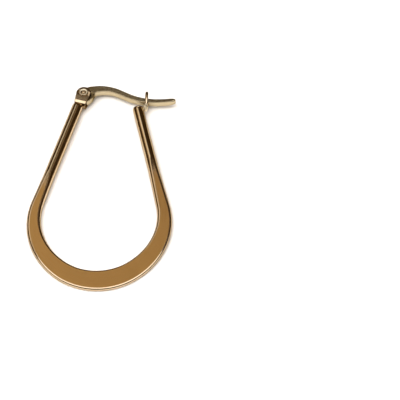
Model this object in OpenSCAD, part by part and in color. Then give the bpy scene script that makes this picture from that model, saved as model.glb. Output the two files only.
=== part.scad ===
/* [Hoop wire] */
// Diameter of the round wire in the arms
wire_d = 2; // [1.8:0.05:2.2]
// Radius of the bottom bend, on the wire's centre line
bottom_r = 10.46; // [10:0.02:11]
// Half of the bottom bend's angle
bottom_half_angle = 35.6; // [30:0.2:40]
// Radius of the two side bends, on the wire's centre line
side_r = 13.08; // [12:0.01:14]
// Lean of each straight arm towards the middle
arm_lean = 14.4; // [12:0.1:15]
// Length of the straight arm that carries the hinge
hinge_arm_l = 22.75; // [22:0.05:24]
// Length of the straight arm that carries the catch
catch_arm_l = 22.5; // [22:0.05:24]
// Rounding of the wire's two ends
end_round = 0.45; // [0.2:0.05:0.5]

/* [Pressed crescent] */
// Thickness of the metal where it is pressed flattest
press_t = 0.8; // [0.75:0.05:1.2]
// Distance along the wire over which the pressing runs out on each side
press_l = 28.6; // [26:0.2:30]
// Distance of the flattest place from the bottom, towards the catch
press_shift = 1.7; // [0:0.1:2.5]
// Share of the spread metal that goes to the outer side
outer_share = 0.52; // [0.45:0.01:0.6]
// Width of the bevel round the flat faces, where they are widest
bevel = 0.24; // [0.1:0.02:0.3]

/* [Hinge bracket] */
// Thickness of the bracket's sheet metal
sheet_t = 0.4; // [0.3:0.05:0.4]
// Gap between the bracket's two ears
ear_gap = 1.3; // [1.3:0.02:1.4]
// Radius of the ears' round ends
ear_r = 1.36; // [1.3:0.02:1.5]
// Width of the bracket where it is folded
fold_w = 2.1; // [1.8:0.05:2.3]
// Outer radius of the fold's two bends
fold_r = 0.85; // [0.6:0.05:0.95]
// Distance from the folded end to the rivet
rivet_reach = 2.4; // [2.35:0.01:2.6]
// How far the bracket sits inwards of the arm's own line
bracket_offset = 0.31; // [0:0.01:0.5]

/* [Rivet] */
// Diameter of the rivet's shank
shank_d = 0.9; // [0.7:0.05:1]
// Diameter of the rivet's heads
head_d = 1.6; // [1.4:0.05:1.8]
// Height of each head
head_h = 0.33; // [0.25:0.01:0.4]
// Width of the rounded rim of each head
rim_w = 0.4; // [0.3:0.02:0.5]
// Radial clearance of the shank in the ears
ear_clearance = 0.02; // [0.01:0.01:0.04]
// Radial clearance of the shank in the ear wire
wire_clearance = 0.05; // [0.03:0.01:0.08]

/* [Ear wire] */
// Thickness of the ear wire, across the hoop's plane
bar_t = 1.2; // [1.1:0.02:1.2]
// Width of the ear wire at its crest, in the hoop's plane
bar_w = 1.24; // [1.1:0.02:1.3]
// Width of the ear wire at its tip
tip_w = 0.76; // [0.6:0.02:0.8]
// Distance of the crest to the right of the rivet
crest_x = 3.12; // [3:0.02:3.4]
// Height of the crest's centre line above the rivet
crest_y = 1.45; // [1.4:0.05:1.6]
// Radius of the crest's bend
crest_r = 8.1; // [7.8:0.1:8.4]
// Steepest fall of the bar, half way along
fall_angle = 26; // [25:0.5:26.5]
// Length of the straight stretch half way along
fall_l = 1.5; // [1.4:0.1:1.6]
// Radius of the bend that falls into the catch
dip_r = 11.5; // [11:0.1:12]
// Radius of the gentle rise of the tip
rise_r = 18; // [16:0.5:20]
// Distance from the lowest point of the bar to its tip
tip_l = 3.75; // [3.4:0.05:3.8]
// Radius of the heel plate's lower edge, round the rivet
heel_r = 1.9; // [1.7:0.05:2]
// Radius of the hollow between the heel plate and the bar
heel_fillet = 0.8; // [0.6:0.05:1]
// How much deeper the bar is next to the heel, on its under side
heel_flare = 0.3; // [0:0.05:0.4]
// Distance over which that extra depth runs out
flare_l = 2.8; // [2:0.1:3.5]

/* [Catch] */
// Diameter of the catch's wire at its bend
catch_d = 0.62; // [0.5:0.02:0.64]
// Diameter of the two prongs at their tips
prong_d = 0.46; // [0.4:0.02:0.5]
// Clearance between the catch's prongs and the ear wire on each side
catch_clearance = 0.13; // [0.1:0.01:0.14]
// How far the prongs rise past the bend of the catch
prong_l = 1.5; // [1.3:0.05:2]
// Gap between the catch's wire and the arm's side, filled by the solder
catch_gap = 0.3; // [0.1:0.05:0.35]

/* [Hidden] */
$fn = 48;

gold = [0.72, 0.53, 0.31];
wire_r = wire_d / 2;
// Overlap of soldered pieces
weld = 0.05;

// The wire's centre line starts at the bottom and runs up one side: a bottom
// bend, a side bend and a straight arm. The other side is its mirror image.
side_angle = 90 + arm_lean - bottom_half_angle;
bottom_l = bottom_r * bottom_half_angle * PI / 180;
bend_l = bottom_l + side_r * side_angle * PI / 180;
function heading(s) =
    s < bottom_l ? s / bottom_r * 180 / PI
    : s < bend_l ? bottom_half_angle + (s - bottom_l) / side_r * 180 / PI
    : 90 + arm_lean;
function outward(s) = [sin(heading(s)), -cos(heading(s))];
side_centre = (bottom_r - side_r) * outward(bottom_l);
arm_start = side_centre + side_r * outward(bend_l);
arm_dir = [cos(heading(bend_l)), sin(heading(bend_l))];
function centre(s) =
    s < bottom_l ? bottom_r * outward(s)
    : s < bend_l ? side_centre + side_r * outward(s)
    : arm_start + (s - bend_l) * arm_dir;

// Each cross-section has a round side facing out and one facing in, cut off
// by the two flat faces. On the arms the cut is one facet of a round wire.
// The angles are heights on the round side, seen from its centre. The distance
// s is measured from the flattest place.
side_points = 11;
facet_angle = 180 / side_points;
round_cut = 90 - facet_angle / 2;
flat_cut = asin(press_t / wire_d);
bevel_angle = 14;
press_power = 1.5;
function mix(a, b, t) = a + (b - a) * t;
function clamp01(t) = min(1, max(0, t));
function half_t(s) = mix(press_t / 2, wire_r * sin(round_cut), pow(clamp01(s / press_l), press_power));

// The pressed wire keeps the area of its section: what the flat faces take away
// comes back as extra width in the middle.
function spread(s) =
    let (h = half_t(s) / wire_r)
    wire_r * (PI / 2 - asin(h) * PI / 180 - h * sqrt(1 - h * h)) / h;
function side(share, s) =
    let (width = share * spread(s),
         cut = asin(half_t(s) / wire_r),
         t = (cut - flat_cut) / (round_cut - flat_cut),
         top = cut - mix(bevel_angle, facet_angle, t),
         edge = width + wire_r * cos(cut) - mix(bevel, 0, t),
         n = side_points - 3)
    concat([[edge, half_t(s)]],
           [for (i = [0 : n])
               let (a = top - 2 * top * i / n)
               [width + wire_r * cos(a), wire_r * sin(a)]],
           [[edge, -half_t(s)]]);
function section(s) = concat(side(outer_share, s), [for (p = side(1 - outer_share, s)) -p]);

// Stations along a side: [distance from the bottom, size of the section]
bend_step = 0.9;
bend_stations = [for (s = [bend_step / 2 : bend_step : press_l + press_shift + bend_step]) [s, 1]];
end_n = 4;
function stations(arm_l) =
    concat(bend_stations,
           [for (i = [0 : end_n])
               let (a = 90 * i / end_n)
               [bend_l + arm_l - end_round * (1 - sin(a)),
                1 - end_round / wire_r * (1 - cos(a))]]);

function ring(s, size, mirrored) =
    [for (p = section(abs(mirrored * s - press_shift)))
        let (q = centre(s) + size * p[0] * outward(s))
        [mirrored * q[0], q[1], size * p[1]]];
function reversed(list) = [for (i = [len(list) - 1 : -1 : 0]) list[i]];
left_rings = reversed([for (st = stations(hinge_arm_l)) ring(st[0], st[1], -1)]);
right_rings = [for (st = stations(catch_arm_l)) ring(st[0], st[1], 1)];
hoop_rings = concat(left_rings, right_rings);

module skin(rings) {
    n = len(rings[0]);
    m = len(rings);
    points = [for (r = rings) each r];
    walls = [for (i = [0 : m - 2]) for (j = [0 : n - 1])
        [i * n + j, (i + 1) * n + j, (i + 1) * n + (j + 1) % n, i * n + (j + 1) % n]];
    first = [for (j = [0 : n - 1]) j];
    last = [for (j = [n - 1 : -1 : 0]) (m - 1) * n + j];
    polyhedron(points, concat([first], walls, [last]), convexity = 4);
}

// Places: the hinge stands on the left arm's end, the catch beside the right one
hinge_turn = -arm_lean;
stack_t = ear_gap + 2 * sheet_t;
hinge_end = centre(bend_l + hinge_arm_l);
catch_end = centre(bend_l + catch_arm_l);
rivet_at = [-hinge_end[0], hinge_end[1]] + (rivet_reach - weld) * [sin(arm_lean), cos(arm_lean)]
    + bracket_offset * [cos(arm_lean), -sin(arm_lean)];

// The ear wire's centre line, in steps along x from the crest to the tip
crest_at = rivet_at + [crest_x, crest_y];
fall_x0 = crest_at[0] + crest_r * sin(fall_angle);
fall_y0 = crest_at[1] - crest_r * (1 - cos(fall_angle));
fall_x1 = fall_x0 + fall_l * cos(fall_angle);
fall_y1 = fall_y0 - fall_l * sin(fall_angle);
low_x = fall_x1 + dip_r * sin(fall_angle);
low_y = fall_y1 - dip_r * (1 - cos(fall_angle));
tip_x = low_x + tip_l;
hollow_x = heel_r + heel_fillet;
function bar_slope(x) =
    x < fall_x0 ? -asin((x - crest_at[0]) / crest_r)
    : x < fall_x1 ? -fall_angle
    : x < low_x ? -asin((low_x - x) / dip_r)
    : asin((x - low_x) / rise_r);
function bar_y(x) =
    x < fall_x0 ? crest_at[1] - crest_r * (1 - cos(bar_slope(x)))
    : x < fall_x1 ? fall_y0 - (x - fall_x0) * tan(fall_angle)
    : x < low_x ? low_y + dip_r * (1 - cos(bar_slope(x)))
    : low_y + rise_r * (1 - cos(bar_slope(x)));
function bar_half_w(x) = mix(bar_w, tip_w, clamp01((x - crest_at[0]) / (tip_x - crest_at[0]))) / 2;
function flare(x) = heel_flare * pow(clamp01(1 - (x - rivet_at[0] - hollow_x) / flare_l), 2);
function bar_edge(x, up) =
    let (half_w = bar_half_w(x) + (up < 0 ? flare(x) : 0))
    [x, bar_y(x)] + up * half_w * [-sin(bar_slope(x)), cos(bar_slope(x))];

// The catch's inner bend holds the bar's two lower corners with a small gap
seat_gap = 0.1;
catch_r = bar_t / 2 + catch_clearance + catch_d / 2;
corner_depth = sqrt(pow(catch_r - catch_d / 2, 2) - pow(bar_t / 2, 2));
catch_x = catch_end[0] + wire_r + catch_d / 2 + catch_gap;
catch_y = bar_edge(catch_x, -1)[1] + corner_depth - seat_gap;

// The model's origin is under the middle of its box
low_edge = min([for (r = hoop_rings) for (p = r) p[1]]);
left_edge = min([for (r = hoop_rings) for (p = r) p[0]]);
right_edge = max([for (r = hoop_rings) for (p = r) p[0]]);
high_edge = crest_at[1] + bar_w / 2;
head_seat = stack_t / 2 + ear_clearance;
head_top = head_seat + head_h;
module placed() {
    translate([-(left_edge + right_edge) / 2, -(low_edge + high_edge) / 2, head_top]) children();
}

// The bracket seen from its side: two long ears and a fold with two round bends
module fold_outline(bend, thick) {
    translate([bend, -thick / 2]) square([rivet_reach + ear_r, thick]);
    translate([0, bend - thick / 2]) square([2 * bend, thick - 2 * bend]);
    for (side = [-1, 1]) translate([bend, side * (thick / 2 - bend)]) circle(bend);
}

// A folded strip: two ears with a rivet hole, joined by the fold on the wire's end
module bracket() {
    bore_r = shank_d / 2 + ear_clearance;
    translate([rivet_at[0], rivet_at[1], 0]) rotate([0, 0, hinge_turn]) difference() {
        intersection() {
            translate([0, 0, -stack_t / 2]) linear_extrude(stack_t) {
                circle(ear_r);
                polygon([[-fold_w / 2, -rivet_reach], [fold_w / 2, -rivet_reach],
                         [ear_r, 0], [-ear_r, 0]]);
            }
            translate([-ear_r, -rivet_reach, 0]) rotate([90, 0, 90]) linear_extrude(2 * ear_r)
                difference() {
                    fold_outline(fold_r, stack_t);
                    translate([sheet_t, 0]) fold_outline(fold_r - sheet_t, ear_gap);
                }
        }
        translate([0, 0, -stack_t]) cylinder(h = 2 * stack_t, r = bore_r);
    }
}

// A bent wire with two prongs that stand one each side of the ear wire, and the
// solder that fills the place between its bend and the side of the arm
solder_size = [0.94, 1.24, 1.2];
solder_drop = 0.14;
module catch_fork() {
    translate([catch_x, catch_y, 0]) {
        rotate([0, 90, 0]) rotate([0, 0, 180]) rotate_extrude(angle = 180)
            translate([catch_r, 0]) circle(d = catch_d);
        for (side = [-1, 1]) translate([0, 0, side * catch_r]) {
            rotate([-90, 0, 0]) cylinder(h = prong_l, d1 = catch_d, d2 = prong_d);
            translate([0, prong_l, 0]) sphere(d = prong_d);
        }
        translate([(catch_d - solder_size[0]) / 2, -catch_r - solder_drop, 0])
            scale(solder_size) sphere(d = 1);
    }
}

module hoop() {
    color(gold) placed() {
        skin(hoop_rings);
        bracket();
        catch_fork();
    }
}

// The plate round the rivet has a wider heel on the side away from the bracket.
// Its outline is given from the rivet's axis. The toe's points are [x, y].
plate_inset = 0.12;
plate_r = ear_r - plate_inset;
root_x = 1;
hollow_y = bar_edge(rivet_at[0] + hollow_x, -1)[1] - rivet_at[1] - heel_fillet;
heel_from = -8;
heel_to = -64;
arc_n = 8;
hollow = [for (i = [0 : arc_n])
    let (a = 90 + 90 * i / arc_n)
    [hollow_x + heel_fillet * cos(a), hollow_y + heel_fillet * sin(a)]];
heel = [for (i = [0 : arc_n])
    let (a = mix(heel_from, heel_to, i / arc_n))
    heel_r * [cos(a), sin(a)]];
toe = [[0.72, -1.84], [0.62, -1.84], [0.5, -1.5]];
back_angle = 115;
back = plate_r * [cos(back_angle), sin(back_angle)];

module ear_wire() {
    bore_r = shank_d / 2 + wire_clearance;
    steps = 40;
    upper = [for (i = [0 : steps]) bar_edge(mix(rivet_at[0] + root_x, tip_x, i / steps), 1)];
    lower = [for (i = [steps : -1 : 1]) bar_edge(mix(rivet_at[0] + hollow_x, tip_x, i / steps), -1)];
    plate_edge = [for (p = concat(hollow, heel, toe, [[0, 0], back])) rivet_at + p];
    color(gold) placed() difference() {
        translate([0, 0, -bar_t / 2]) union() {
            linear_extrude(bar_t) polygon(concat(upper, lower, plate_edge));
            translate(rivet_at) cylinder(h = bar_t, r = plate_r);
            translate([tip_x, bar_y(tip_x)]) cylinder(h = bar_t, d = tip_w);
        }
        translate([rivet_at[0], rivet_at[1], -bar_t]) cylinder(h = 2 * bar_t, r = bore_r);
    }
}

// The rivet's two heads have a wide round rim and a small dished middle
module hinge_rivet() {
    rim_at = (head_d - rim_w) / 2;
    dish_h = head_h * 0.35;
    color(gold) placed() translate([rivet_at[0], rivet_at[1], 0]) {
        translate([0, 0, -head_seat]) cylinder(h = 2 * head_seat, d = shank_d);
        for (side = [0, 1]) mirror([0, 0, side]) translate([0, 0, head_seat]) rotate_extrude() {
            square([rim_at, dish_h]);
            translate([rim_at, head_h / 2]) scale([rim_w, head_h]) circle(d = 1);
        }
    }
}

hoop();
ear_wire();
hinge_rivet();
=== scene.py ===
import math

import bmesh
import bpy
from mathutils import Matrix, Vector, noise
from mathutils.geometry import tessellate_polygon


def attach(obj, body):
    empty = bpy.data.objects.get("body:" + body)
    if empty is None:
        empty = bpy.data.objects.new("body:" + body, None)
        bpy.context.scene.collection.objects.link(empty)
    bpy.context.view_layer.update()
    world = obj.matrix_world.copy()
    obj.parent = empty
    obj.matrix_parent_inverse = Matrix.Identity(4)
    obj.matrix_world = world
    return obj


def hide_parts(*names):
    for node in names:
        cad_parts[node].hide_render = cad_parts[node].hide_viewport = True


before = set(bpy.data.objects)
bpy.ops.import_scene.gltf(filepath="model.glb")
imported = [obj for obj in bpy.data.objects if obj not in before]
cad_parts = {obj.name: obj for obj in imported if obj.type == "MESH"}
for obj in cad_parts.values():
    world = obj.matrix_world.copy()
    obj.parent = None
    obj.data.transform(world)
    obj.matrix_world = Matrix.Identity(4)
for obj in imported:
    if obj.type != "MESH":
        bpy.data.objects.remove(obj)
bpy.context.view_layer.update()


# Hoop wire
# One round steel wire, drawn to 2 mm, bent into a drop and pressed flat round the bottom.
# The press leaves a satin crescent that tapers to a point on each arm, with round polished
# edges. The whole hoop is plated in pale gold.
MM = 0.001
lift = Vector((-0.05675, -9.61747, 1.4))     # the middle of the bottom bend, in the shared frame
wire_r = 1.0
bottom_r, bottom_half_angle = 10.46, 35.6
side_r, arm_lean = 13.08, 14.4
hinge_arm_l, catch_arm_l = 22.75, 22.5
end_round, end_cap, end_steps = 0.45, 0.28, 7
press_half_t, press_l, press_shift, press_power = 0.4, 31.0, 1.7, 1.83
least_press = 0.002
outer_share = 0.52
flat_rim_r, arm_rim_r = 0.35, 0.58
rim_change_at, rim_change_l = 9, 12
rim_steps, rim_first_mark = 10, 0.5
side_steps, side_first_mark = 18, 0.6
satin_l, satin_fade_l = 26, 5
wave_h, wave_pitch, wave_seed = 0.006, 0.6, 9
crease = 0.02
ring_step = 0.33


def mix(a, b, t):
    return a + (b - a) * t


def clamp01(t):
    return min(1.0, max(0.0, t))


def ease(t):
    t = clamp01(t)
    return t * t * (3 - 2 * t)


def polar(degrees, radius=1.0):
    a = math.radians(degrees)
    return Vector((radius * math.cos(a), radius * math.sin(a)))


side_angle = 90 + arm_lean - bottom_half_angle
bottom_l = math.radians(bottom_half_angle) * bottom_r
bend_l = bottom_l + math.radians(side_angle) * side_r


def heading(s):
    """Which way the wire runs, in degrees, at the distance s from the bottom."""
    if s < bottom_l:
        return math.degrees(s / bottom_r)
    return min(bottom_half_angle + math.degrees((s - bottom_l) / side_r), 90 + arm_lean)


def outward(s):
    return polar(heading(s) - 90)


side_centre = (bottom_r - side_r) * outward(bottom_l)
arm_start = side_centre + side_r * outward(bend_l)
arm_dir = polar(heading(bend_l))


def centre(s):
    """The wire's centre line: the bottom bend, the side bend and the straight arm."""
    if s < bottom_l:
        return bottom_r * outward(s)
    if s < bend_l:
        return side_centre + side_r * outward(s)
    return arm_start + (s - bend_l) * arm_dir


def half_section(s, share):
    """Half of the wire's section, from the middle of the front face round to the back.

    s is the distance from the flattest place, and share how much of the spread metal is
    on this side. Each point is the distance out from the centre line, the height and two
    marks: how far the point belongs to the rim, and to the flat face.
    """
    roundness = clamp01(s / press_l) ** press_power
    half_t = mix(press_half_t, wire_r - least_press, roundness)
    rim_r = mix(flat_rim_r, arm_rim_r, ease((s - rim_change_at) / rim_change_l))
    lean = half_t / wire_r
    spread = wire_r * (math.acos(lean) / lean - math.sqrt(1 - lean * lean))
    wave = wave_h * noise.noise(Vector((s * wave_pitch, share * wave_seed, 0)))
    width = share * spread + wave * (1 - roundness)
    bead = width + math.sqrt((wire_r - rim_r) ** 2 - (half_t - rim_r) ** 2)
    rise = math.degrees(math.atan2(half_t - rim_r, bead - width))
    fold = min(crease, bead / 4)
    top = [(bead * t, half_t, 0, 1) for t in (0, 0.25, 0.5, 0.75)]
    top.append((bead - fold, half_t, 0, 1))
    for i in range(rim_steps):
        p = polar(mix(90, rise, i / rim_steps), rim_r)
        top.append((bead + p.x, half_t - rim_r + p.y, 1, rim_first_mark if i == 0 else 0))
    side = []
    for i in range(side_steps + 1):
        p = polar(mix(rise, -rise, i / side_steps), wire_r)
        mark = side_first_mark if i in (0, side_steps) else 0
        side.append((width + p.x, p.y, mark, 0))
    return top + side + [(x, -z, rim, flat) for x, z, rim, flat in reversed(top)]


def stations(arm_l):
    """The rings of one arm: each one's distance from the bottom, and its size at the round end."""
    length = bend_l + arm_l
    steps = math.ceil((length - end_round) / ring_step)
    found = [((length - end_round) * i / steps, 1.0) for i in range(1, steps + 1)]
    for i in range(1, end_steps + 1):
        p = polar(90 * i / end_steps, end_round)
        found.append((length - end_round + p.y, 1 - (end_round - p.x) / wire_r))
    return found + [(length, end_cap)]


def wire_ring(s, size, hand):
    """One ring of points round the wire. hand is -1 on the hinge's side and 1 on the catch's."""
    pressed_s = abs(hand * s - press_shift)
    outer = half_section(pressed_s, outer_share)
    inner = half_section(pressed_s, 1 - outer_share)[1:-1]
    ring = outer + [(-x, z, rim, flat) for x, z, rim, flat in reversed(inner)]
    at, out = centre(s), outward(s)
    satin = 1 - ease((pressed_s - satin_l) / satin_fade_l)
    rows = []
    for x, z, rim, flat in ring:
        p = at + out * x * size
        place = Vector((hand * p.x, p.y, z * size))
        rows.append((place, rim, flat * satin, Vector((hand * s, x, z))))
    return rows


def make_piece(name, rows, faces):
    """Makes a smooth mesh from rows of place, rim mark, face mark and grain place, all in mm."""
    mesh = bpy.data.meshes.new(name)
    mesh.from_pydata([(row[0] + lift) * MM for row in rows], [], faces)
    # The second mark is the pressed face on the hoop, and painted light on the other pieces
    for k, mark in ((1, "rim"), (2, "pressed")):
        values = mesh.attributes.new(mark, "FLOAT", "POINT").data
        values.foreach_set("value", [row[k] for row in rows])
    grain = mesh.attributes.new("grain", "FLOAT_VECTOR", "POINT")
    grain.data.foreach_set("vector", [v for row in rows for v in row[3]])
    work = bmesh.new()
    work.from_mesh(mesh)
    bmesh.ops.recalc_face_normals(work, faces=work.faces)
    for face in work.faces:
        face.smooth = True
    work.to_mesh(mesh)
    work.free()
    piece = bpy.data.objects.new(name, mesh)
    bpy.context.scene.collection.objects.link(piece)
    return piece


def tube_faces(rings, per_ring, closed_ends=True):
    faces = []
    for i in range(rings - 1):
        low, high = i * per_ring, (i + 1) * per_ring
        for j in range(per_ring):
            k = (j + 1) % per_ring
            faces.append((low + j, low + k, high + k, high + j))
    if closed_ends:
        faces.append(tuple(range(per_ring)))
        faces.append(tuple((rings - 1) * per_ring + j for j in range(per_ring)))
    return faces


hinge_rings = [wire_ring(s, size, -1) for s, size in stations(hinge_arm_l)]
catch_rings = [wire_ring(s, size, 1) for s, size in stations(catch_arm_l)]
wire_rings = hinge_rings[::-1] + [wire_ring(0, 1.0, 1)] + catch_rings
hoop_wire = make_piece(
    "hoop_wire",
    [row for ring in wire_rings for row in ring],
    tube_faces(len(wire_rings), len(wire_rings[0])),
)


class Mark:
    """A socket that varies over the metal. Sums of marks and numbers add Math nodes."""

    def __init__(self, finish, socket):
        self.finish = finish
        self.socket = socket

    def maths(self, operation, *terms):
        return self.finish.node("ShaderNodeMath", {"operation": operation}, dict(enumerate(terms)))

    def __add__(self, other):
        return self.maths("ADD", self, other)

    def __sub__(self, other):
        return self.maths("SUBTRACT", self, other)

    def __rsub__(self, other):
        return self.maths("SUBTRACT", other, self)

    def __mul__(self, other):
        return self.maths("MULTIPLY", self, other)

    __radd__ = __add__
    __rmul__ = __mul__


class Finish:
    """The node tree of one finish."""

    def __init__(self, name):
        self.material = bpy.data.materials.new(name)
        self.material.use_nodes = True
        self.tree = self.material.node_tree
        self.tree.nodes.clear()

    def node(self, kind, settings=None, inputs=None, output=0):
        """Adds a node: its settings, then the values or links of its sockets. Gives one output."""
        made = self.tree.nodes.new(kind)
        for key, value in (settings or {}).items():
            setattr(made, key, value)
        for key, value in (inputs or {}).items():
            if isinstance(value, Mark):
                self.tree.links.new(value.socket, made.inputs[key])
            else:
                made.inputs[key].default_value = value
        return Mark(self, made.outputs[output]) if made.outputs else None

    def read(self, mark, output="Fac"):
        """The mark of that name that make_piece gives each point."""
        return self.node("ShaderNodeAttribute", {"attribute_name": mark}, None, output)

    def colour_mix(self, factor, first, second):
        # In a Mix node set to colours, sockets 6 and 7 are the two colours and output 2 the result.
        settings = {"data_type": "RGBA", "blend_type": "MIX"}
        return self.node("ShaderNodeMix", settings, {0: factor, 6: first, 7: second}, 2)

    def stretched(self, at, scale):
        return self.node("ShaderNodeVectorMath", {"operation": "MULTIPLY"}, {0: at, 1: scale})

    def grain(self, at, scale, detail, rough):
        """Noise in the metal's own directions. A higher scale gives finer grain that way."""
        inputs = {"Scale": 1.0, "Detail": detail, "Roughness": rough}
        inputs["Vector"] = self.stretched(at, scale)
        return self.node("ShaderNodeTexNoise", None, inputs)

    def band(self, value, low, high, start=0.0, end=1.0):
        """Maps low to high onto start to end, smoothly, and holds the ends."""
        settings = {"interpolation_type": "SMOOTHSTEP"}
        inputs = {0: value, 1: low, 2: high, 3: start, 4: end}
        return self.node("ShaderNodeMapRange", settings, inputs)


gold_polished = (0.68, 0.53, 0.36, 1)
gold_satin = (0.495, 0.262, 0.079, 1)
gold_dull = (0.52, 0.37, 0.17, 1)
# A near-black tint on the reflection at grazing angles: painted shade along every outline
painted_edge_shade_tint = (0.15, 0.11, 0.06, 1)
relief = 0.006


def plated(
    name,
    polish=0.12,
    satin=0.36,
    draw=(0.25, 9, 9),
    scratches=0.5,
    gold=gold_polished,
    face_and_painted_light_gold=gold_satin,
    rim_gold=gold_polished,
):
    """Plated metal: gold with roughness polish, and a second colour with roughness satin where
    marked.

    The face mark is the pressed face on the hoop. On the other pieces it paints light: painted
    shade on the bracket's edges and round the ear wire's heel, and a painted highlight on the
    rivet's rolled rim and on the catch's solder. On the catch the rim mark paints the prong tips
    dark, a painted dark reflection.

    draw is how fine the lines of the drawing or brushing are, along and across the grain.
    """
    f = Finish(name)
    at = f.read("grain", "Vector")
    rim = f.read("rim")
    pressed = f.read("pressed")
    # Each grain's scale along, across and through the metal, its detail and its roughness
    lines = f.grain(at, draw, 4.0, 0.6)
    fine = f.grain(at, tuple(3.2 * d for d in draw), 2.0, 0.5)
    cloud = f.grain(at, (0.35, 0.6, 0.6), 3.0, 0.5)
    dust = f.grain(at, (16, 16, 16), 2.0, 0.6)
    hair = f.grain(at, (0.9, 26, 26), 2.0, 0.4)
    cross = f.grain(at, (21, 2.5, 4), 2.0, 0.4)
    scratch = f.band(hair, 0.64, 0.7) + f.band(cross, 0.67, 0.73) * 0.6
    pits = f.band(dust, 0.70, 0.78)

    base = f.colour_mix(f.band(cloud, 0.35, 0.7, 0.0, 0.3), gold, gold_dull)
    # The face colour is the pressed face's own on the hoop, and painted shade and painted
    # highlights on the other pieces
    face = f.colour_mix(f.band(lines, 0.3, 0.7, 0.0, 0.15), face_and_painted_light_gold, gold_dull)
    colour = f.colour_mix(pressed, base, face)
    # Where rim_gold differs from gold, the rim mark paints it in: on the catch, painted dark prong
    # tips
    colour = f.colour_mix(rim * 0.6 * (1.0 - pressed), colour, rim_gold)

    rough = pressed * (satin - polish) + polish
    rough = rough + (lines - 0.5) * (pressed * 0.16 + 0.05) + (cloud - 0.5) * 0.08
    rough = rough + scratch * (0.14 * scratches) + pits * 0.12 - rim * 0.03

    height = lines * (pressed * 0.55 + 0.08) + fine * (pressed * 0.45 + 0.05)
    height = height - scratch * (0.35 * scratches) - pits * 0.3
    bumps = {"Strength": 0.5, "Distance": relief * MM, "Height": height}

    metal = {"Base Color": colour, "Metallic": 1.0, "Roughness": rough, "Specular Tint": painted_edge_shade_tint}
    metal["Normal"] = f.node("ShaderNodeBump", None, bumps)
    shader = f.node("ShaderNodeBsdfPrincipled", None, metal)
    f.node("ShaderNodeOutputMaterial", None, {"Surface": shader})
    return f.material


hoop_wire.data.materials.append(plated("gold_hoop"))
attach(hoop_wire, "hoop_frame")
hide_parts("hoop")


# Hinge bracket
# A stamped strip of 0.4 mm sheet with two round ends and two rivet holes, tumbled so
# that its edges are soft, folded into a U and soldered on the end of the left arm.
sheet_t, ear_gap = 0.4, 1.3
ear_r, ear_steps = 1.36, 40
fold_w, fold_mid_r, fold_steps = 2.1, 0.65, 16
rivet_reach, bracket_offset, weld = 2.6, 0.31, 0.25
bore_r, bore_points, bore_chamfer = 0.47, 32, 0.03
# The sheet's cut edges are painted dark brown: painted shade
sheet_edge, edge_painted_shade, edge_steps = 0.075, 0.8, 8
past_edge = 1.1     # a first loop just inside the rounding keeps the flat face flat
flat_tolerance = 0.02
bulge, bulge_l = 0.045, 1.1
# Dark brown painted on the bracket's edges, round the ear wire's heel and on the catch's prong
# tips: painted shade
painted_shade_brown = (0.2, 0.13, 0.05, 1)

up_arm = Vector((math.sin(math.radians(arm_lean)), math.cos(math.radians(arm_lean))))
off_arm = Vector((up_arm.y, -up_arm.x))
hinge_end = Vector((-centre(bend_l + hinge_arm_l).x, centre(bend_l + hinge_arm_l).y))
rivet_at = hinge_end + (rivet_reach - weld) * up_arm + bracket_offset * off_arm


def arc(middle, radius, start, end, count):
    return [Vector(middle) + polar(mix(start, end, i / count), radius) for i in range(count + 1)]


def plate(outline, bores, half_t, edge, drop):
    """A plate with rounded edges: rows of place and rim mark, and faces.

    outline runs anticlockwise. edge holds how far in from each of its points the rounding
    starts, and drop how deep it goes. Each bore is its middle and radius.
    """
    n = len(outline)
    normals = []
    for i, p in enumerate(outline):
        run = (outline[(i + 1) % n] - outline[i - 1]).normalized()
        normals.append(Vector((run.y, -run.x)))
    profile = [(past_edge, 0)]
    for k in range(edge_steps + 1):
        p = polar(90 - 90 * k / edge_steps)
        profile.append((1 - p.x, 1 - p.y))
    levels = [(inset, down, 1) for inset, down in profile]
    levels += [(inset, down, -1) for inset, down in reversed(profile)]
    rows = []
    for inset, down, front in levels:
        for p, out, across, deep in zip(outline, normals, edge, drop):
            q = p - out * across * inset
            z = front * (half_t - deep * down)
            rows.append((Vector((q.x, q.y, z)), 1.0 if down > flat_tolerance else 0.0))
    faces = tube_faces(len(levels), n, False)
    front_loops, back_loops = [list(range(n))], [list(range(len(rows) - n, len(rows)))]
    for middle, radius in bores:
        first = len(rows)
        deep = half_t - bore_chamfer
        steps = [(bore_chamfer, half_t), (0, deep), (0, -deep), (bore_chamfer, -half_t)]
        for grow, z in steps:
            for i in range(bore_points):
                q = Vector(middle) + polar(360 * i / bore_points, radius + grow)
                rows.append((Vector((q.x, q.y, z)), 0.0))
        for face in tube_faces(len(steps), bore_points, False):
            faces.append(tuple(first + i for i in face))
        front_loops.append(list(range(first, first + bore_points)))
        back_loops.append(list(range(len(rows) - bore_points, len(rows))))
    for loops in (front_loops, back_loops):
        ids = [i for loop in loops for i in loop]
        points = [[Vector((rows[i][0].x, rows[i][0].y, 0)) for i in loop] for loop in loops]
        faces += [tuple(ids[i] for i in tri) for tri in tessellate_polygon(points)]
    return rows, faces


arc_l = fold_mid_r * math.pi / 2
fold_half = ear_gap / 2 + sheet_t / 2 - fold_mid_r
ear_straight = rivet_reach - sheet_t / 2 - fold_mid_r
ear_at = fold_half + arc_l + ear_straight
waist = fold_half + arc_l / 2
quarter = arc((0, ear_at), ear_r, 0, 180, ear_steps)
for t in (0.25, 0.5, 0.75, 1):
    quarter.append(Vector((mix(-ear_r, -fold_w / 2, t), mix(ear_at, waist, t))))
left_half = quarter + [Vector((p.x, -p.y)) for p in reversed(quarter[ear_steps + 1:])]
blank = left_half + [-p for p in left_half]
blank_edges = [sheet_edge] * len(blank)
rivet_holes = [((0, side * ear_at), bore_r) for side in (-1, 1)]
blank_rows, blank_faces = plate(blank, rivet_holes, sheet_t / 2, blank_edges, blank_edges)


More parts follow.
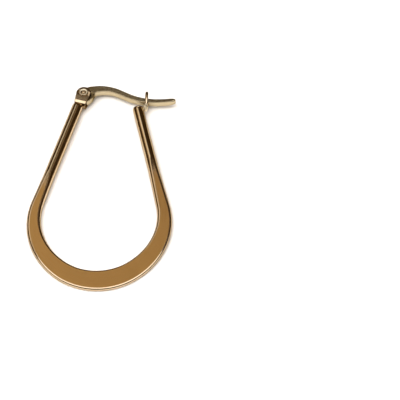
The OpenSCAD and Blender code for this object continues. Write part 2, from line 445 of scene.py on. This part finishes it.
def folded(p):
    """Takes a point of the flat blank to its place on the folded bracket."""
    side = -1 if p.y < 0 else 1
    run, off = abs(p.y), p.z
    turn = math.radians(90) * clamp01((run - fold_half) / arc_l)
    straight = max(0.0, run - fold_half - arc_l)
    along = straight - ear_straight - (fold_mid_r + off) * math.cos(turn)
    height = min(run, fold_half) + (fold_mid_r + off) * math.sin(turn)
    near_fold = max(0.0, fold_half + arc_l + bulge_l - run)
    height -= bulge * near_fold ** 2 * ease(turn / math.radians(90))
    q = rivet_at + off_arm * p.x + up_arm * along
    return Vector((q.x, q.y, side * height))


sheet = bmesh.new()
for place, _ in blank_rows:
    sheet.verts.new(place)
sheet.verts.ensure_lookup_table()
for face in blank_faces:
    sheet.faces.new([sheet.verts[i] for i in face])
for side in (-1, 1):
    for k in range(fold_steps + 1):
        bmesh.ops.bisect_plane(
            sheet,
            geom=sheet.verts[:] + sheet.edges[:] + sheet.faces[:],
            plane_co=(0, side * (fold_half + arc_l * k / fold_steps), 0),
            plane_no=(0, 1, 0),
        )
sheet.verts.index_update()
bracket_rows = []
for v in sheet.verts:
    # The cut edges get the dark brown painted shade
    edge_mark = 1.0 if abs(v.co.z) < sheet_t / 2 - 0.001 else 0.0
    bracket_rows.append((folded(v.co), edge_mark, edge_mark * edge_painted_shade, v.co.copy()))
bracket_faces = [tuple(v.index for v in face.verts) for face in sheet.faces]
sheet.free()
hinge_bracket = make_piece("hinge_bracket", bracket_rows, bracket_faces)
hinge_bracket.data.materials.append(plated(
    "gold_bracket",
    polish=0.15,
    satin=0.3,
    draw=(7, 0.4, 7),
    scratches=0.2,
    face_and_painted_light_gold=painted_shade_brown,
))
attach(hinge_bracket, "hoop_frame")
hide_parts("hoop")


# Ear wire
# A flat S-shaped bar cut from 1.2 mm plate and tumbled soft. It goes through the ear,
# turns on the rivet by its heel plate, and its tapered tip drops into the catch.
bar_t, bar_w, tip_w = 1.2, 1.24, 0.76
crest_at = rivet_at + Vector((3.12, 1.45))
crest_r, fall_angle, fall_l = 8.1, 26.0, 1.5
dip_r, rise_r, tip_l = 11.5, 18.0, 3.75
heel_r, heel_fillet = 1.9, 0.8
flare_w, flare_l = 0.3, 2.8
plate_r, wire_bore_r = 1.24, 0.5
lower_steps, upper_steps, upper_start = 120, 140, 1.0
back_from, back_to, back_steps = 115, 287, 60
shoulder_from, shoulder_to, shoulder_steps = -64, -8, 18
heel_steps = 16
tip_from, tip_to, tip_end_steps = -80, 90, 14
toe_points = ((0.42, -1.36), (0.5, -1.66), (0.58, -1.84), (0.72, -1.82))
outline_step, outline_passes = 0.09, 6
toe_at, toe_near_l, toe_fade_l = Vector((0.6, -1.7)), 0.3, 0.6
tip_near_l, tip_fade_l = 0.7, 0.9
bar_round_share, plate_round, toe_round, tip_round = 0.22, 0.12, 0.08, 0.27
plate_edge_r = 1.35
bar_drop, tip_drop = 0.13, 0.46
round_passes = 14
# Round the heel the bar's top is painted dark brown, fading out from the rivet: painted shade where
# the bracket stands over it, which also hides the bracket's reflection
heel_painted_shade, heel_shade_l, heel_shade_fade_l = 0.8, 1.9, 0.9
gold_champagne = (0.54, 0.455, 0.3, 1)

fall_0 = crest_at + Vector((crest_r * polar(fall_angle).y, crest_r * (polar(fall_angle).x - 1)))
fall_1 = fall_0 + polar(-fall_angle, fall_l)
low = fall_1 + Vector((dip_r * polar(fall_angle).y, dip_r * (polar(fall_angle).x - 1)))
tip_x = low.x + tip_l
hollow_x = heel_r + heel_fillet


def bar_slope(x):
    if x < fall_0.x:
        return -math.asin((x - crest_at.x) / crest_r)
    if x < fall_1.x:
        return -math.radians(fall_angle)
    if x < low.x:
        return -math.asin((low.x - x) / dip_r)
    return math.asin((x - low.x) / rise_r)


def bar_middle(x):
    bend = 1 - math.cos(bar_slope(x))
    if x < fall_0.x:
        return crest_at.y - crest_r * bend
    if x < fall_1.x:
        return mix(fall_0.y, fall_1.y, (x - fall_0.x) / (fall_1.x - fall_0.x))
    if x < low.x:
        return low.y + dip_r * bend
    return low.y + rise_r * bend


def bar_half_w(x):
    return mix(bar_w, tip_w, clamp01((x - crest_at.x) / (tip_x - crest_at.x))) / 2


def bar_edge(x, side):
    """A point of the bar's upper edge (side 1) or lower edge (side -1, flared to the heel)."""
    half_w = bar_half_w(x)
    if side < 0:
        half_w += flare_w * clamp01(1 - (x - rivet_at.x - hollow_x) / flare_l) ** 2
    slope = bar_slope(x)
    left, up = side * half_w * math.sin(slope), side * half_w * math.cos(slope)
    return Vector((x - left, bar_middle(x) + up))


def bar_run(start, side, steps):
    return [bar_edge(mix(rivet_at.x + start, tip_x, i / steps), side) for i in range(steps + 1)]


hollow_y = bar_edge(rivet_at.x + hollow_x, -1).y - rivet_at.y - heel_fillet
lower = bar_run(hollow_x, -1, lower_steps)
upper = bar_run(upper_start, 1, upper_steps)
back = arc((0, 0), plate_r, back_from, back_to, back_steps)
toe = [Vector(p) for p in toe_points]
shoulder = arc((0, 0), heel_r, shoulder_from, shoulder_to, shoulder_steps)
heel = arc((hollow_x, hollow_y), heel_fillet, 90, 180, heel_steps)[::-1]
tip = arc((tip_x, bar_middle(tip_x)), tip_w / 2, tip_from, tip_to, tip_end_steps)
rough_outline = [rivet_at + p for p in back + toe + shoulder + heel]
rough_outline += lower[1:] + tip + upper[-2::-1]


def evened(points, step, passes):
    """The closed outline at an even spacing, with its kinks smoothed out."""
    n = len(points)
    runs = [(points[(i + 1) % n] - points[i]).length for i in range(n)]
    count = round(sum(runs) / step)
    spaced, i, gone = [], 0, 0.0
    for k in range(count):
        want = sum(runs) * k / count
        while gone + runs[i] < want:
            gone += runs[i]
            i += 1
        spaced.append(points[i].lerp(points[(i + 1) % n], (want - gone) / max(runs[i], 1e-9)))
    for _ in range(passes):
        spaced = [
            p * 0.5 + (spaced[i - 1] + spaced[(i + 1) % count]) * 0.25
            for i, p in enumerate(spaced)
        ]
    return spaced


def calmed(values, passes):
    n = len(values)
    for _ in range(passes):
        values = [(values[i - 1] + v * 2 + values[(i + 1) % n]) / 4 for i, v in enumerate(values)]
    return values


bar_outline = evened(rough_outline, outline_step, outline_passes)
bar_rounds, bar_drops = [], []
for p in bar_outline:
    toe_near = 1 - ease(((p - rivet_at - toe_at).length - toe_near_l) / toe_fade_l)
    tip_near = ease((p.x - tip_x + tip_near_l) / tip_fade_l)
    on_bar = (p - rivet_at).length > plate_edge_r
    full = bar_round_share * bar_half_w(p.x) if on_bar else plate_round
    bar_rounds.append(mix(mix(full, toe_round, toe_near), tip_round, tip_near))
    bar_drops.append(mix(bar_drop, tip_drop, tip_near))
bar_rounds, bar_drops = calmed(bar_rounds, round_passes), calmed(bar_drops, round_passes)
bar_hole = (rivet_at, wire_bore_r)
plain_rows, bar_faces = plate(bar_outline, [bar_hole], bar_t / 2, bar_rounds, bar_drops)
bar_rows = []
for p, rim in plain_rows:
    place = p - rivet_at.to_3d()
    # The dark brown painted shade fades out with the distance from the rivet
    away = ease((place.to_2d().length - heel_shade_l) / heel_shade_fade_l)
    bar_rows.append((p, rim, heel_painted_shade * (1 - away) * (1 - rim), place))
ear_wire_bar = make_piece("ear_wire_bar", bar_rows, bar_faces)
ear_wire_bar.data.materials.append(plated(
    "gold_ear_wire",
    polish=0.26,
    satin=0.3,
    draw=(0.5, 8, 8),
    scratches=0.2,
    gold=gold_champagne,
    face_and_painted_light_gold=painted_shade_brown,
    rim_gold=gold_champagne,
))
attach(ear_wire_bar, "ear_wire_arm")
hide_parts("ear_wire")


# Hinge rivet
# The rivet goes through both ears and the heel plate. Each end is set with a punch, which
# rolls the head's rim over and leaves a dish with a low pip in its middle.
shank_r, head_r, head_clearance = 0.45, 0.8, 0.02
head_seat = ear_gap / 2 + sheet_t + head_clearance
# The rolled rim's top is painted pale gold: a painted highlight ring
highlight_ring_from, highlight_ring_to, highlight_ring_above = 0.5, 0.7, 0.1
turns, turn_grain, pole_r = 64, 0.1, 0.004
# Pale gold painted on the rivet's rolled rim and on the catch's solder: a painted highlight
painted_highlight_pale = (1.0, 0.9, 0.68, 1)
# From the pip's top over the groove and the rolled rim, down under the head to the shank
head_profile = [
    (0.0, 0.25), (0.07, 0.245), (0.12, 0.232), (0.17, 0.21), (0.21, 0.182), (0.245, 0.145),
    (0.275, 0.105), (0.3, 0.075), (0.33, 0.06), (0.37, 0.06), (0.4, 0.075), (0.43, 0.11),
    (0.455, 0.15), (0.48, 0.185), (0.51, 0.198), (0.56, 0.209), (0.62, 0.222), (0.66, 0.23),
    (0.69, 0.231), (0.72, 0.222), (0.745, 0.201), (0.765, 0.172), (0.785, 0.14), (head_r, 0.1),
    (0.796, 0.07), (0.775, 0.035), (0.74, 0.008), (0.7, 0.0), (shank_r + 0.02, 0.0),
    (shank_r, -0.03),
]
rivet_profile = [(r, head_seat + z) for r, z in head_profile]
rivet_profile += [(r, -z) for r, z in reversed(rivet_profile)]
rivet_rows = []
for r, z in rivet_profile:
    # The rim's top gets the pale painted highlight
    ring = 1.0 if highlight_ring_from < r < highlight_ring_to and abs(z) > head_seat + highlight_ring_above else 0.0
    for i in range(turns):
        p = rivet_at + polar(360 * i / turns, max(r, pole_r))
        rivet_rows.append((Vector((p.x, p.y, z)), 0.0, ring, Vector((i * turn_grain, r, z))))
rivet = make_piece("rivet", rivet_rows, tube_faces(len(rivet_profile), turns))
rivet.data.materials.append(plated(
    "gold_rivet",
    polish=0.12,
    satin=0.37,
    draw=(0.6, 6, 6),
    scratches=0.2,
    face_and_painted_light_gold=painted_highlight_pale,
))
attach(rivet, "hoop_frame")
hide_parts("hinge_rivet")


# Catch
# A 0.6 mm wire bent into a U, with its prongs drawn thinner. They stand one each side of
# the ear wire, and a bead of solder holds the bend to the side of the right arm.
catch_wire_r, prong_tip_r, prong_l = 0.31, 0.28, 1.5
catch_clearance, seat_gap, catch_gap = 0.13, 0.1, 0.3
bend_depth = 1.8
fork_sides, prong_steps, bend_turn = 20, 12, 6
prong_end_from, prong_end_to, prong_end_steps = 88, 10, 7
core_r, core_sides, core_at = 0.97, 48, (0.5, 1.5, 2.6, 3.6)
solder_radii, solder_drop, solder_rise = (0.5, 0.72, 0.76), 0.22, 0.12
solder_reach, solder_fade_l = 0.75, 0.3
spill_radii, spill_in, spill_rise = (0.36, 0.3, 0.36), 0.45, 0.8
lump_h, lump_pitch = 0.08, 1.4
melt_grid, melt_factor, melt_passes = 0.045, 0.5, 5
# The prong tips are painted dark brown: a painted dark reflection
tip_painted_dark, dark_tip_l, dark_tip_fade_l = 1.4, 0.75, 0.4

catch_r = bar_t / 2 + catch_clearance + catch_wire_r
catch_end = centre(bend_l + catch_arm_l)
catch_x = catch_end.x + wire_r + catch_wire_r + catch_gap
corner_depth = math.sqrt((catch_r - catch_wire_r) ** 2 - (bar_t / 2) ** 2)
catch_y = bar_edge(catch_x, -1).y + corner_depth - seat_gap
catch_at = Vector((catch_x, catch_y, 0))


def swept(path, ring_points):
    """A closed tube along path. Each path entry is place, side direction and radius."""
    points = []
    for i, (at, side, radius) in enumerate(path):
        run = (path[min(i + 1, len(path) - 1)][0] - path[max(i - 1, 0)][0]).normalized()
        depth = run.cross(side).normalized()
        for k in range(ring_points):
            p = polar(360 * k / ring_points)
            points.append(at + (side * p.x + depth * p.y) * radius)
    return points, tube_faces(len(path), ring_points)


# Half of the fork, from a prong's tip to the middle of the bend: place along, height and radius
half_path = []
for i in range(prong_end_steps):
    p = polar(mix(prong_end_from, prong_end_to, i / prong_end_steps), prong_tip_r)
    half_path.append((prong_l + p.y, catch_r, p.x))
bend_y = bend_depth - catch_r
for i in range(prong_steps):
    t = i / prong_steps
    half_path.append((mix(prong_l, bend_y, t), catch_r, mix(prong_tip_r, catch_wire_r, t)))
for a in range(0, 90, bend_turn):
    half_path.append((bend_y - bend_depth * polar(a).y, catch_r * polar(a).x, catch_wire_r))
whole_path = half_path + [(-catch_r, 0, catch_wire_r)]
whole_path += [(y, -z, r) for y, z, r in reversed(half_path)]
fork_path = [(catch_at + Vector((0, y, z)), Vector((1, 0, 0)), r) for y, z, r in whole_path]

# A slimmer core in the arm's end, for the solder to melt onto
arm_back = Vector((-arm_dir.x, -arm_dir.y, 0))
arm_side = Vector((arm_dir.y, -arm_dir.x, 0))
core_path = [(catch_end.to_3d() + arm_back * t, arm_side, core_r) for t in core_at]


def solder_bead(middle, radii, seed):
    bead = bmesh.new()
    bmesh.ops.create_icosphere(bead, subdivisions=4, radius=1.0)
    points = []
    for v in bead.verts:
        size = 1 + lump_h * noise.noise(v.co * lump_pitch + Vector((seed, 0, 0)))
        points.append(middle + Vector([v.co[k] * radii[k] * size for k in range(3)]))
    faces = [tuple(v.index for v in face.verts) for face in bead.faces]
    bead.free()
    return points, faces


def melted(lumps):
    """The lumps run together into one skin, as solder flows: its points and faces."""
    points, faces = [], []
    for lump_points, lump_faces in lumps:
        faces += [tuple(len(points) + i for i in face) for face in lump_faces]
        points += lump_points
    mesh = bpy.data.meshes.new("catch_blank")
    mesh.from_pydata(points, [], faces)
    work = bmesh.new()
    work.from_mesh(mesh)
    bmesh.ops.recalc_face_normals(work, faces=work.faces)
    work.to_mesh(mesh)
    work.free()
    lump = bpy.data.objects.new("catch_blank", mesh)
    bpy.context.scene.collection.objects.link(lump)
    melt = lump.modifiers.new("melt", "REMESH")
    melt.mode = "VOXEL"
    melt.voxel_size = melt_grid
    flow = lump.modifiers.new("flow", "SMOOTH")
    flow.factor = melt_factor
    flow.iterations = melt_passes
    skin = lump.evaluated_get(bpy.context.evaluated_depsgraph_get()).to_mesh()
    skin_points = [v.co.copy() for v in skin.vertices]
    skin_faces = [tuple(face.vertices) for face in skin.polygons]
    bpy.data.objects.remove(lump)
    return skin_points, skin_faces


solder_at = catch_at + Vector((catch_wire_r - solder_radii[0], -catch_r - solder_drop, solder_rise))
spill_at = catch_end.to_3d() + arm_back * spill_in + Vector((0, 0, spill_rise))
fork_points, fork_faces = melted([
    swept(fork_path, fork_sides),
    swept(core_path, core_sides),
    solder_bead(solder_at, solder_radii, 1.0),
    solder_bead(spill_at, spill_radii, 4.0),
])
fork_rows = []
for p in fork_points:
    # The solder is rough, and its pale colour is a painted highlight
    solder_and_painted_highlight = 1 - ease(((p - solder_at).length - solder_reach) / solder_fade_l)
    painted_dark_tip = tip_painted_dark * ease((p.y - catch_y - prong_l + dark_tip_l) / dark_tip_fade_l)
    fork_rows.append((p, painted_dark_tip, solder_and_painted_highlight, p))
catch_fork = make_piece("catch_fork", fork_rows, fork_faces)
catch_fork.data.materials.append(plated(
    "gold_catch",
    polish=0.16,
    satin=0.6,
    draw=(5, 5, 5),
    # The solder's pale gold is a painted highlight
    face_and_painted_light_gold=painted_highlight_pale,
    # The prong tips' dark brown is a painted dark reflection
    rim_gold=painted_shade_brown,
))
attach(catch_fork, "hoop_frame")
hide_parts("hoop")


# Table, light and camera
# The hoop lies on its side on a pale table: it rests on the rivet's back head, the catch
# and the crescent's lower edge, so the table leans a little against the model.
wall_r, wall_low, wall_high, wall_sides, dome_rise = 0.6, -0.05, 0.6, 48, 1.3
lean_x, lean_y = 0.0017, -0.0236
table_half, table_gap = 3.0, 0.01


def stage_sheet(name, corners, faces, rough, colour, glow=None):
    mesh = bpy.data.meshes.new(name)
    mesh.from_pydata(corners, [], faces)
    sheet_piece = bpy.data.objects.new(name, mesh)
    bpy.context.scene.collection.objects.link(sheet_piece)
    look = {"Base Color": colour, "Roughness": rough}
    if glow:
        look.update({"Emission Color": glow, "Emission Strength": 1.0})
    f = Finish(name)
    shader = f.node("ShaderNodeBsdfPrincipled", None, look)
    f.node("ShaderNodeOutputMaterial", None, {"Surface": shader})
    mesh.materials.append(f.material)
    return sheet_piece


# A round pale wall that only the camera sees, so that no view ends in the dark
ring = [polar(360 * i / wall_sides, wall_r) for i in range(wall_sides)]
wall_corners = [(p.x, p.y, z) for z in (wall_low, wall_high) for p in ring]
wall_corners.append((0, 0, wall_high * dome_rise))
wall_faces = tube_faces(2, wall_sides, False)
for i in range(wall_sides):
    wall_faces.append((wall_sides + i, wall_sides + (i + 1) % wall_sides, 2 * wall_sides))
backdrop = stage_sheet(
    "backdrop", wall_corners, wall_faces, 0.8, (0.9, 0.9, 0.9, 1), (0.95, 0.95, 0.94, 1)
)
backdrop.visible_glossy = backdrop.visible_diffuse = backdrop.visible_shadow = False

rivet_foot = (rivet_at.to_3d() + lift) * MM
table_corners = []
for x, y in ((-1, -1), (1, -1), (1, 1), (-1, 1)):
    x, y = x * table_half, y * table_half
    rise = lean_x * (x - rivet_foot.x) + lean_y * (y - rivet_foot.y)
    table_corners.append((x, y, rise - table_gap * MM))
stage_sheet("table", table_corners, [(0, 1, 2, 3)], 0.7, (0.86, 0.86, 0.86, 1))

world = bpy.data.worlds.new("studio")
bpy.context.scene.world = world
world.use_nodes = True
room = world.node_tree.nodes["Background"]
room.inputs["Color"].default_value = (1.0, 0.53, 0.14, 1)
room.inputs["Strength"].default_value = 0.045


def soft_light(name, azimuth, elevation, distance, wide, deep, glow, tint=(1, 1, 1), mirrored=True):
    """An oval soft box. Azimuth 0 is behind the ear wire, and 90 is to the right.

    A mirrored one shows in the metal only, and any other one lights the table only.
    """
    a, e = math.radians(azimuth), math.radians(elevation)
    way = Vector((math.sin(a) * math.cos(e), math.cos(a) * math.cos(e), math.sin(e)))
    data = bpy.data.lights.new(name, "AREA")
    data.shape = "ELLIPSE"
    data.size = wide
    data.size_y = deep
    data.energy = glow * math.pi * math.pi * wide * deep / 4
    data.color = tint
    light = bpy.data.objects.new(name, data)
    light.location = way * distance
    light.rotation_mode = "QUATERNION"
    light.rotation_quaternion = (-way).to_track_quat("-Z", "Y")
    light.visible_camera = False
    light.visible_glossy = mirrored
    light.visible_diffuse = not mirrored
    bpy.context.scene.collection.objects.link(light)


# Where each stands, in degrees and metres, then its width, depth, glow and tint
soft_light("overhead", 180, 86, 0.7, 1.3, 0.72, 1.85)
soft_light("back_card", -31, 50, 0.8, 0.34, 0.34, 0.85, (1, 0.95, 0.85))
soft_light("left_card", -110, 25, 0.8, 0.6, 0.6, 0.3, (1, 0.85, 0.6))
soft_light("left_wing", -57, 46, 0.8, 0.36, 0.36, 0.42, (1, 0.76, 0.5))
soft_light("right_wing", 28, 62, 0.8, 0.34, 0.34, 0.17, (1, 0.72, 0.45))
soft_light("table_light", -104, 68, 0.9, 0.8, 0.8, 3.4, mirrored=False)
soft_light("table_fill", 180, 84, 0.9, 2.0, 2.0, 2.0, (1, 0.93, 0.86), mirrored=False)

bpy.context.scene.view_settings.view_transform = "Standard"

camera_rise, camera_turn, camera_away = math.radians(56), math.radians(1.709), 0.3
target = Vector((17.6602, -2.7215, 1.4)) * MM
back_way = Vector((
    math.sin(camera_turn) * math.cos(camera_rise),
    -math.cos(camera_turn) * math.cos(camera_rise),
    math.sin(camera_rise),
))
camera_data = bpy.data.cameras.new("camera")
camera_data.sensor_width = 36
camera_data.lens = 151.2
camera_data.clip_start = 0.01
camera_data.clip_end = 20
camera = bpy.data.objects.new("camera", camera_data)
camera.location = target + back_way * camera_away
camera.rotation_mode = "QUATERNION"
camera.rotation_quaternion = (-back_way).to_track_quat("-Z", "Y")
bpy.context.scene.collection.objects.link(camera)
bpy.context.scene.camera = camera

bpy.context.view_layer.update()
